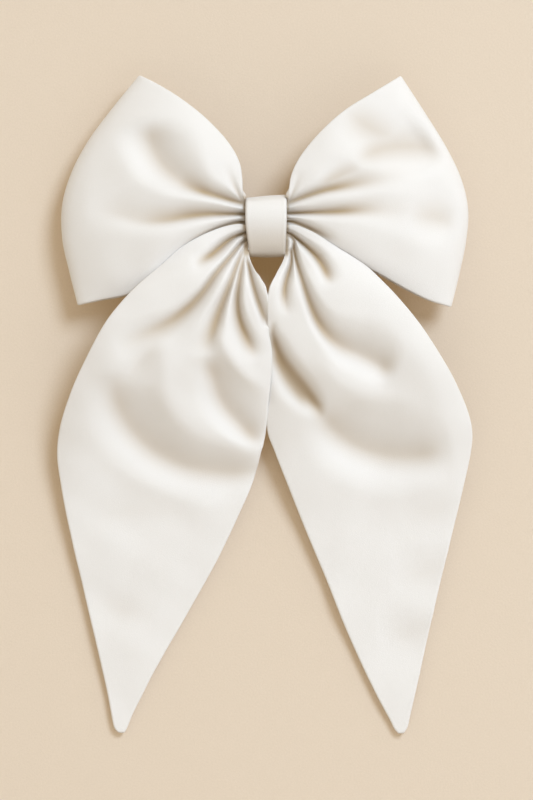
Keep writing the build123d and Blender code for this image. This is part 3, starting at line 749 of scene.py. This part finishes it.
TAPER_TOP = 0.2  # the taper starts at this share of the half height
TAPER_LENGTH = 1.2
BAND_UNDERSIDE_SHADE = 0.36  # how strong the painted shade gets on the band's lower front, darker towards the bottom
UNDERSIDE_SHADE_TOP = 5.0
UNDERSIDE_SHADE_LENGTH = 16


def knot_band():
    """Satin band round the waists: a soft strip with turned hems, a little narrower at the bottom."""
    path = smooth_line(BAND_OUTLINE, 140)[:-1]
    count = len(path)
    step = np.roll(path, -1, axis=0) - np.roll(path, 1, axis=0)
    step /= np.linalg.norm(step, axis=1, keepdims=True)
    # Outward direction in the (y, z) plane
    outward = np.stack([step[:, 1], -step[:, 0]], 1)
    outward *= np.sign(((path - path.mean(0)) * outward).sum(1).mean())
    half = BAND_HALF_WIDTH
    profile = []
    for t in np.linspace(-1, 1, 33):
        hem = math.exp(-(((abs(t) - HEM_PLACE) / HEM_WIDTH) ** 2)) * HEM_HEIGHT
        edge = EDGE_DROP * max(0.0, (abs(t) - EDGE_START) / (1 - EDGE_START)) ** 2.2
        profile.append((t * half, hem - edge + BAND_CROWN * (1 - t * t)))
    for t in np.linspace(1, -1, 17):
        profile.append((t * (half - BAND_LAP), -BAND_THICK))
    profile = np.array(profile)
    ring = np.zeros((count, len(profile), 3))
    for i in range(count):
        y, z = path[i]
        height = z / BAND_HALF_HEIGHT
        low = smoothstep((TAPER_TOP - height) / TAPER_LENGTH) if y < BAND_FRONT_Y else 0
        left = -half + BAND_TAPER[0] * low
        right = half - BAND_TAPER[1] * low
        x = left + (right - left) * (profile[:, 0] + half) / (2 * half)
        ring[i, :, 0] = x
        ring[i, :, 1] = y + outward[i, 0] * profile[:, 1]
        ring[i, :, 2] = z + outward[i, 1] * profile[:, 1] + BAND_TILT * x * max(0, height)
    ring = np.concatenate([ring, ring[:1]], 0)
    faces = grid_faces(count + 1, len(profile), closed=True)
    points = ring[:-1].reshape(-1, 3)
    total = len(points)
    faces = [tuple(k % total for k in face) for face in faces]
    # Painted shade: the band's front turns darker and warmer towards its bottom
    underside_shade = BAND_UNDERSIDE_SHADE * smoothstep((UNDERSIDE_SHADE_TOP - points[:, 2]) / UNDERSIDE_SHADE_LENGTH)
    return new_mesh("centre_band", points, faces, underside_shade * (points[:, 1] < BAND_FRONT_Y))


band = knot_band()


# ---------------------------------------------------------------- hidden soft pieces
WAIST_SHRINK = 0.9  # pressed soft, a waist is smaller than its measure
WAIST_MARGIN = 1.6  # the pleats end this far inside the waist's ends
PLEATS = 5
THREAD_TURNS = 5
THREAD_RADIUS = 0.21
TURN_SPACING = 2.1  # in radii


def attach(piece, body, nodes, slot):
    """Puts a piece of the bow on the bow's body; any other piece keeps its place with its transform baked
    in. Hides the CAD nodes it replaces and names its slot.
    """
    if body == "bow":
        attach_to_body(piece, body)
    else:
        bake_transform(piece)
    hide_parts(*nodes)
    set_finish(piece, slot)


def gathering_thread(name, node, waist):
    """Close turns of thread drawn tight round a waist."""
    low, high = (np.array(corner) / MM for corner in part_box(waist))
    centre, half = (low + high) / 2, (high - low) / 2 * WAIST_SHRINK
    turns, radius = THREAD_TURNS, THREAD_RADIUS
    steps, around = 44, 8
    points = []
    for k in range(turns * steps + 1):
        a = 2 * math.pi * k / steps
        x = (k / steps - turns / 2) * TURN_SPACING * radius
        cy, cz = math.cos(a), math.sin(a)
        y = math.copysign(abs(cy) ** 0.6, cy) * (half[1] - radius)
        z = math.copysign(abs(cz) ** 0.6, cz) * (half[2] - radius)
        out = np.array([0, y / half[1], z / half[2]])
        out /= np.linalg.norm(out)
        for j in range(around):
            b = 2 * math.pi * j / around
            arm = math.cos(b) * out + math.sin(b) * np.array([1.0, 0, 0])
            points.append(centre + (x, y, z) + radius * arm)
    faces = grid_faces(turns * steps + 1, around, closed=True)
    last = turns * steps * around
    faces.append(tuple(range(around - 1, -1, -1)))
    faces.append(tuple(range(last, last + around)))
    attach(new_mesh(name, points, faces), "bow", (node,), "thread")


def waist_pleats(name, node):
    """Stack of pressed pleats inside the band, where a strip is drawn together."""
    low, high = (np.array(corner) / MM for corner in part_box(node))
    centre = (low + high) / 2
    half_z = WAIST_SHRINK * (high[2] - low[2]) / PLEATS / 2
    half_y = (high[1] - low[1]) / 2
    half_x = (high[0] - low[0]) / 2 - WAIST_MARGIN
    points, faces = [], []
    around, along = 28, 15
    for k in range(PLEATS):
        start = len(points)
        z0 = centre[2] + (2 * k + 1 - PLEATS) * half_z
        for x in np.linspace(-half_x, half_x, along):
            squeeze = 0.82 + 0.14 * (x / half_x) ** 2
            for a in np.linspace(0, 2 * math.pi, around, endpoint=False):
                wave = 1 + 0.05 * math.sin(3 * a + k + 0.4 * x)
                y = centre[1] + half_y * WAIST_SHRINK * squeeze * wave * math.cos(a)
                points.append((x, y, z0 + half_z * 1.12 * squeeze * math.sin(a)))
        faces += grid_faces(along, around, start, closed=True)
        faces.append(tuple(range(start + around - 1, start - 1, -1)))
        faces.append(tuple(range(start + (along - 1) * around, start + along * around)))
    attach(new_mesh(name, points, faces), "bow", (node,), "satin")


def felt_pad():
    """Soft-edged felt strip between the waists and the plate."""
    low, high = (np.array(corner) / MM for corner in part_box("backing_pad"))
    centre, half = (low + high) / 2, (high - low) / 2
    points, faces = [], []
    count, layers = 96, 9
    for k in range(layers):
        t = math.pi * k / (layers - 1)
        y = centre[1] - half[1] * math.cos(t)
        shrink = 0.5 * (1 - math.sin(t))
        for j in range(count):
            a = 2 * math.pi * j / count
            fuzz = 0.05 * math.sin(11 * a + k) + 0.04 * math.sin(23 * a + 2 * k)
            cx, cz = math.cos(a), math.sin(a)
            x = math.copysign(abs(cx) ** 0.22, cx) * (half[0] - shrink + fuzz)
            z = math.copysign(abs(cz) ** 0.35, cz) * (half[2] - shrink + fuzz)
            points.append((centre[0] + x, y, centre[2] + z))
    faces = grid_faces(layers, count, closed=True)
    faces.append(tuple(range(count - 1, -1, -1)))
    faces.append(tuple(range((layers - 1) * count, layers * count)))
    attach(new_mesh("felt_pad", points, faces), "bow", ("backing_pad",), "felt")


waist_pleats("loop_waist_pleats", "loop_waist")
waist_pleats("tail_waist_pleats", "tail_waist")
gathering_thread("loop_gathering", "loop_gathering_thread", "loop_waist")
gathering_thread("tail_gathering", "tail_gathering_thread", "tail_waist")
felt_pad()

for sheet, body, pieces in (
    ("loop_left", "bow", left_loop),
    ("loop_right", "bow", right_loop),
    ("tail_left", "left_tail", left_tail),
    ("tail_right", "right_tail", right_tail),
):
    attach(pieces[0], body, (sheet + "_face_ply", sheet + "_interlining"), "satin")
    attach(pieces[1], body, (sheet + "_lining_ply",), "satin_lining")
attach(band, "bow", ("knot_band",), "satin")


# ---------------------------------------------------------------- materials


class Shading:
    """A node material under construction. Lengths in its patterns are in metres."""

    def __init__(self, name):
        self.material = bpy.data.materials.new(name)
        self.material.use_nodes = True
        self.nodes = self.material.node_tree.nodes
        self.links = self.material.node_tree.links
        self.shader = self.nodes["Principled BSDF"]
        self.place = self.nodes.new("ShaderNodeTexCoord").outputs["Object"]

    def link(self, output, target):
        """Joins a node's output to an input."""
        self.links.new(output, target)

    def noise(self, size, detail=2.0, rough=0.5, stretch=(1, 1, 1)):
        """Noise with features of about the given size."""
        mapping = self.nodes.new("ShaderNodeMapping")
        mapping.inputs["Scale"].default_value = stretch
        self.link(self.place, mapping.inputs["Vector"])
        node = self.nodes.new("ShaderNodeTexNoise")
        node.inputs["Scale"].default_value = 1 / size
        node.inputs["Detail"].default_value = detail
        node.inputs["Roughness"].default_value = rough
        self.link(mapping.outputs[0], node.inputs["Vector"])
        return node.outputs["Fac"]

    def wave(self, size, turn, distortion=0.6):
        """Parallel threads of the given spacing, turned about Y."""
        mapping = self.nodes.new("ShaderNodeMapping")
        mapping.inputs["Rotation"].default_value = (0, turn, 0)
        self.link(self.place, mapping.inputs["Vector"])
        node = self.nodes.new("ShaderNodeTexWave")
        node.inputs["Scale"].default_value = 0.314 / size
        node.inputs["Distortion"].default_value = distortion
        node.inputs["Detail Scale"].default_value = 3
        self.link(mapping.outputs[0], node.inputs["Vector"])
        return node.outputs["Fac"]

    def spread(self, value, low, high):
        """value from 0..1 mapped to low..high."""
        node = self.nodes.new("ShaderNodeMapRange")
        node.inputs["To Min"].default_value = low
        node.inputs["To Max"].default_value = high
        self.link(value, node.inputs["Value"])
        return node.outputs["Result"]

    def blend(self, factor, first, second):
        """Mix of two colours. Each is a colour or another node's output."""
        node = self.nodes.new("ShaderNodeMix")
        node.data_type = "RGBA"
        for value, index in ((factor, 0), (first, 6), (second, 7)):
            if isinstance(value, bpy.types.NodeSocket):
                self.link(value, node.inputs[index])
            else:
                node.inputs[index].default_value = value
        return node.outputs[2]

    def add(self, first, second):
        """Sum of two outputs."""
        node = self.nodes.new("ShaderNodeMath")
        node.operation = "ADD"
        self.link(first, node.inputs[0])
        self.link(second, node.inputs[1])
        return node.outputs[0]

    def bump(self, height, strength, distance):
        """Relief from an output. distance is its height in metres."""
        node = self.nodes.new("ShaderNodeBump")
        node.inputs["Strength"].default_value = strength
        node.inputs["Distance"].default_value = distance
        self.link(height, node.inputs["Height"])
        self.link(node.outputs[0], self.shader.inputs["Normal"])

    def set(self, **values):
        """Plain values of the shader's inputs."""
        for name, value in values.items():
            self.shader.inputs[name.replace("_", " ")].default_value = value


def times(colour, factor):
    """A colour made darker or lighter, with full alpha."""
    return (*[c * factor for c in colour], 1)


THREAD_SPACING = 0.00042
GRAIN_SIZE = 0.00055
CLOUD_SIZE = 0.035
GRAIN_COLOUR = (0.76, 0.74, 0.70, 1)
GRAIN_TINT = 0.18
# Painted shade at the fold bottoms: how strongly it comes in, and its colour
FOLD_SHADE_STRENGTH = 1.0
FOLD_SHADE_COLOUR = (0.41, 0.28, 0.12)


def satin_material(name, colour):
    """Matte duchess satin: diagonal weave, faint grain, a soft sheen and painted shade, warm and dark, in
    the fold bottoms.
    """
    m = Shading(name)
    # Painted shade: the mesh's shade attribute turns the base colour a dark warm brown at the fold
    # bottoms
    painted_shade = m.nodes.new("ShaderNodeAttribute")
    painted_shade.attribute_name = "painted_shade"
    cloudy = m.noise(CLOUD_SIZE, 2)
    grain = m.noise(GRAIN_SIZE, 3, 0.7)
    threads = m.add(m.wave(THREAD_SPACING, 0.6), m.wave(THREAD_SPACING, -0.9))
    tone = m.blend(m.spread(cloudy, 0.0, 1.0), times(colour, 0.98), (*colour, 1))
    tone = m.blend(m.spread(grain, 0.0, GRAIN_TINT), tone, GRAIN_COLOUR)
    tone = m.blend(m.spread(painted_shade.outputs["Fac"], 0.0, FOLD_SHADE_STRENGTH), tone, (*FOLD_SHADE_COLOUR, 1))
    m.link(tone, m.shader.inputs["Base Color"])
    m.link(m.spread(grain, 0.5, 0.68), m.shader.inputs["Roughness"])
    m.bump(m.add(threads, m.spread(grain, 0, 3.0)), 0.4, 0.00008)
    m.set(Sheen_Weight=0.22, Sheen_Roughness=0.4, Specular_IOR_Level=0.3)
    m.shader.inputs["Sheen Tint"].default_value = (1.0, 0.98, 0.94, 1)
    return m.material


def felt_material():
    """Off-white wool felt with short fibres."""
    m = Shading("wool_felt")
    fibre = m.noise(0.0004, 5, 0.75, (1, 1, 2.4))
    tone = m.blend(m.spread(fibre, 0, 1), (0.70, 0.66, 0.58, 1), (0.86, 0.83, 0.77, 1))
    m.link(tone, m.shader.inputs["Base Color"])
    m.bump(fibre, 0.6, 0.0003)
    m.set(Roughness=0.95, Sheen_Weight=0.5)
    return m.material


def thread_material():
    """Twisted ivory sewing thread."""
    m = Shading("sewing_thread")
    twist = m.wave(0.0003, 0.8, 0.2)
    m.link(m.blend(twist, (0.74, 0.70, 0.62, 1), (0.9, 0.88, 0.83, 1)), m.shader.inputs["Base Color"])
    m.bump(twist, 0.5, 0.00008)
    m.set(Roughness=0.6, Sheen_Weight=0.3)
    return m.material


def steel_material(name, colour, rough):
    """Nickel-plated stamping: brushed along its length, with faint handling marks."""
    m = Shading(name)
    brushed = m.noise(0.00025, 3, 0.6, (0.04, 1, 1))
    marks = m.noise(0.004, 4, 0.6)
    tone = m.blend(m.spread(marks, 0, 1), times(colour, 0.86), (*colour, 1))
    m.link(tone, m.shader.inputs["Base Color"])
    m.link(m.spread(m.add(brushed, marks), rough - 0.06, rough + 0.1), m.shader.inputs["Roughness"])
    m.bump(brushed, 0.12, 0.00004)
    m.set(Metallic=1.0)
    return m.material


SATIN = satin_material("ivory_satin", (0.87, 0.87, 0.89))
LINING = satin_material("ivory_satin_lining", (0.86, 0.85, 0.84))
SKINS = {
    "satin": SATIN,
    "satin_lining": LINING,
    "interlining": LINING,
    "felt": felt_material(),
    "thread": thread_material(),
    "nickel_steel": steel_material("nickel_steel", (0.74, 0.74, 0.75), 0.26),
    "spring_steel": steel_material("spring_steel", (0.62, 0.62, 0.64), 0.2),
}
slot_of = {entry["node"]: entry["material_slot"] for entry in frame["record"]["subparts"]}
for obj in list(bpy.data.objects):
    if obj.type != "MESH":
        continue
    slot = slot_of[obj["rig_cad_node"]] if "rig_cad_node" in obj else obj["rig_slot"]
    obj.data.materials.clear()
    obj.data.materials.append(SKINS[slot])

# ---------------------------------------------------------------- stage, light, camera


def stage_plane(name, corners, colour, glow, gone_from_behind):
    """Pale paper sheet with a glow of its own. If gone_from_behind, a camera behind it looks through."""
    obj = new_mesh(name, np.array(corners) / MM, [(0, 1, 2, 3)])
    m = Shading(name)
    fibre = m.noise(0.0009, 4, 0.7)
    tone = m.blend(m.spread(fibre, 0, 1), times(colour, 0.88), times(colour, 1.05))
    m.link(tone, m.shader.inputs["Base Color"])
    m.bump(fibre, 0.35, 0.0002)
    m.set(Roughness=0.95, Specular_IOR_Level=0.1, Emission_Strength=1.0)
    m.shader.inputs["Emission Color"].default_value = (*glow, 1)
    if gone_from_behind:
        eye = m.nodes.new("ShaderNodeVectorTransform")
        eye.vector_type = "POINT"
        eye.convert_from = "CAMERA"
        eye.convert_to = "WORLD"
        eye.inputs[0].default_value = (0, 0, 0)
        parts = m.nodes.new("ShaderNodeSeparateXYZ")
        m.link(eye.outputs[0], parts.inputs[0])
        behind = m.nodes.new("ShaderNodeMath")
        behind.operation = "GREATER_THAN"
        m.link(parts.outputs["Y"], behind.inputs[0])
        behind.inputs[1].default_value = corners[0][1]
        clear = m.nodes.new("ShaderNodeBsdfTransparent")
        mix = m.nodes.new("ShaderNodeMixShader")
        m.link(behind.outputs[0], mix.inputs[0])
        m.link(m.shader.outputs[0], mix.inputs[1])
        m.link(clear.outputs[0], mix.inputs[2])
        m.link(mix.outputs[0], m.nodes["Material Output"].inputs["Surface"])
    obj.data.materials.append(m.material)


# The stage, the lights and the camera are in metres
WALL_COLOUR = (0.695, 0.635, 0.565)
WALL_GLOW = (0.09, 0.045, 0.008)
FLOOR_COLOUR = (0.78, 0.75, 0.71)
NO_GLOW = (0.0, 0.0, 0.0)
STAGE_REACH = 1.6
WALL_GAP = 0.0006
FLOOR_DROP = 0.35
wall_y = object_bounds()[1].y + WALL_GAP
floor_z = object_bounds()[0].z - FLOOR_DROP
wall_rim = [
    (-STAGE_REACH, floor_z),
    (STAGE_REACH, floor_z),
    (STAGE_REACH, STAGE_REACH),
    (-STAGE_REACH, STAGE_REACH),
]
floor_rim = [
    (-STAGE_REACH, wall_y - STAGE_REACH),
    (STAGE_REACH, wall_y - STAGE_REACH),
    (STAGE_REACH, wall_y + STAGE_REACH),
    (-STAGE_REACH, wall_y + STAGE_REACH),
]
stage_plane("backdrop", [(x, wall_y, z) for x, z in wall_rim], WALL_COLOUR, WALL_GLOW, True)
stage_plane("floor", [(x, y, floor_z) for x, y in floor_rim], FLOOR_COLOUR, NO_GLOW, False)

LIGHT_TARGET = (0, 0, -0.08)


def area_light(name, place, size, power, colour):
    """Round soft light aimed at the middle of the bow."""
    data = bpy.data.lights.new(name, "AREA")
    data.shape = "DISK"
    data.size = size
    data.energy = power
    data.color = colour
    obj = bpy.data.objects.new(name, data)
    bpy.context.scene.collection.objects.link(obj)
    obj.location = place
    aim = Vector(LIGHT_TARGET) - Vector(place)
    obj.rotation_euler = aim.to_track_quat("-Z", "Y").to_euler()


area_light("key", (1.30, -2.40, 1.42), 1.4, 62.5, (0.785, 0.89, 1.0))
area_light("back_fill", (-0.7, 1.6, 0.9), 1.1, 20, (0.86, 0.93, 1.0))

SKY_COLOUR = (1.0, 0.865, 0.655, 1)
SKY_BELOW = 0.35  # the sky's strength straight down
SKY_ABOVE = 0.75  # and straight up
world = bpy.data.worlds.new("studio")
bpy.context.scene.world = world
world.use_nodes = True
sky = world.node_tree.nodes
links = world.node_tree.links
sky["Background"].inputs["Color"].default_value = SKY_COLOUR
split = sky.new("ShaderNodeSeparateXYZ")
links.new(sky.new("ShaderNodeTexCoord").outputs["Generated"], split.inputs[0])
slope = sky.new("ShaderNodeMapRange")
slope.inputs["From Min"].default_value = -1
slope.inputs["To Min"].default_value = SKY_BELOW
slope.inputs["To Max"].default_value = SKY_ABOVE
links.new(split.outputs["Z"], slope.inputs["Value"])
links.new(slope.outputs["Result"], sky["Background"].inputs["Strength"])
bpy.context.scene.view_settings.view_transform = "Standard"

CAMERA_DISTANCE = 1.8
VIEW_HEIGHT = 0.360  # height of the picture at the bow
SENSOR_HEIGHT = 24
VIEW_CENTRE = (0.0002, -0.005, -0.0783)
camera_data = bpy.data.cameras.new("camera")
camera_data.sensor_fit = "VERTICAL"
camera_data.sensor_height = SENSOR_HEIGHT
camera_data.lens = SENSOR_HEIGHT * CAMERA_DISTANCE / VIEW_HEIGHT
camera = bpy.data.objects.new("camera", camera_data)
bpy.context.scene.collection.objects.link(camera)
camera.location = (VIEW_CENTRE[0], VIEW_CENTRE[1] - CAMERA_DISTANCE, VIEW_CENTRE[2])
camera.rotation_euler = (math.pi / 2, 0, 0)
bpy.context.scene.camera = camera
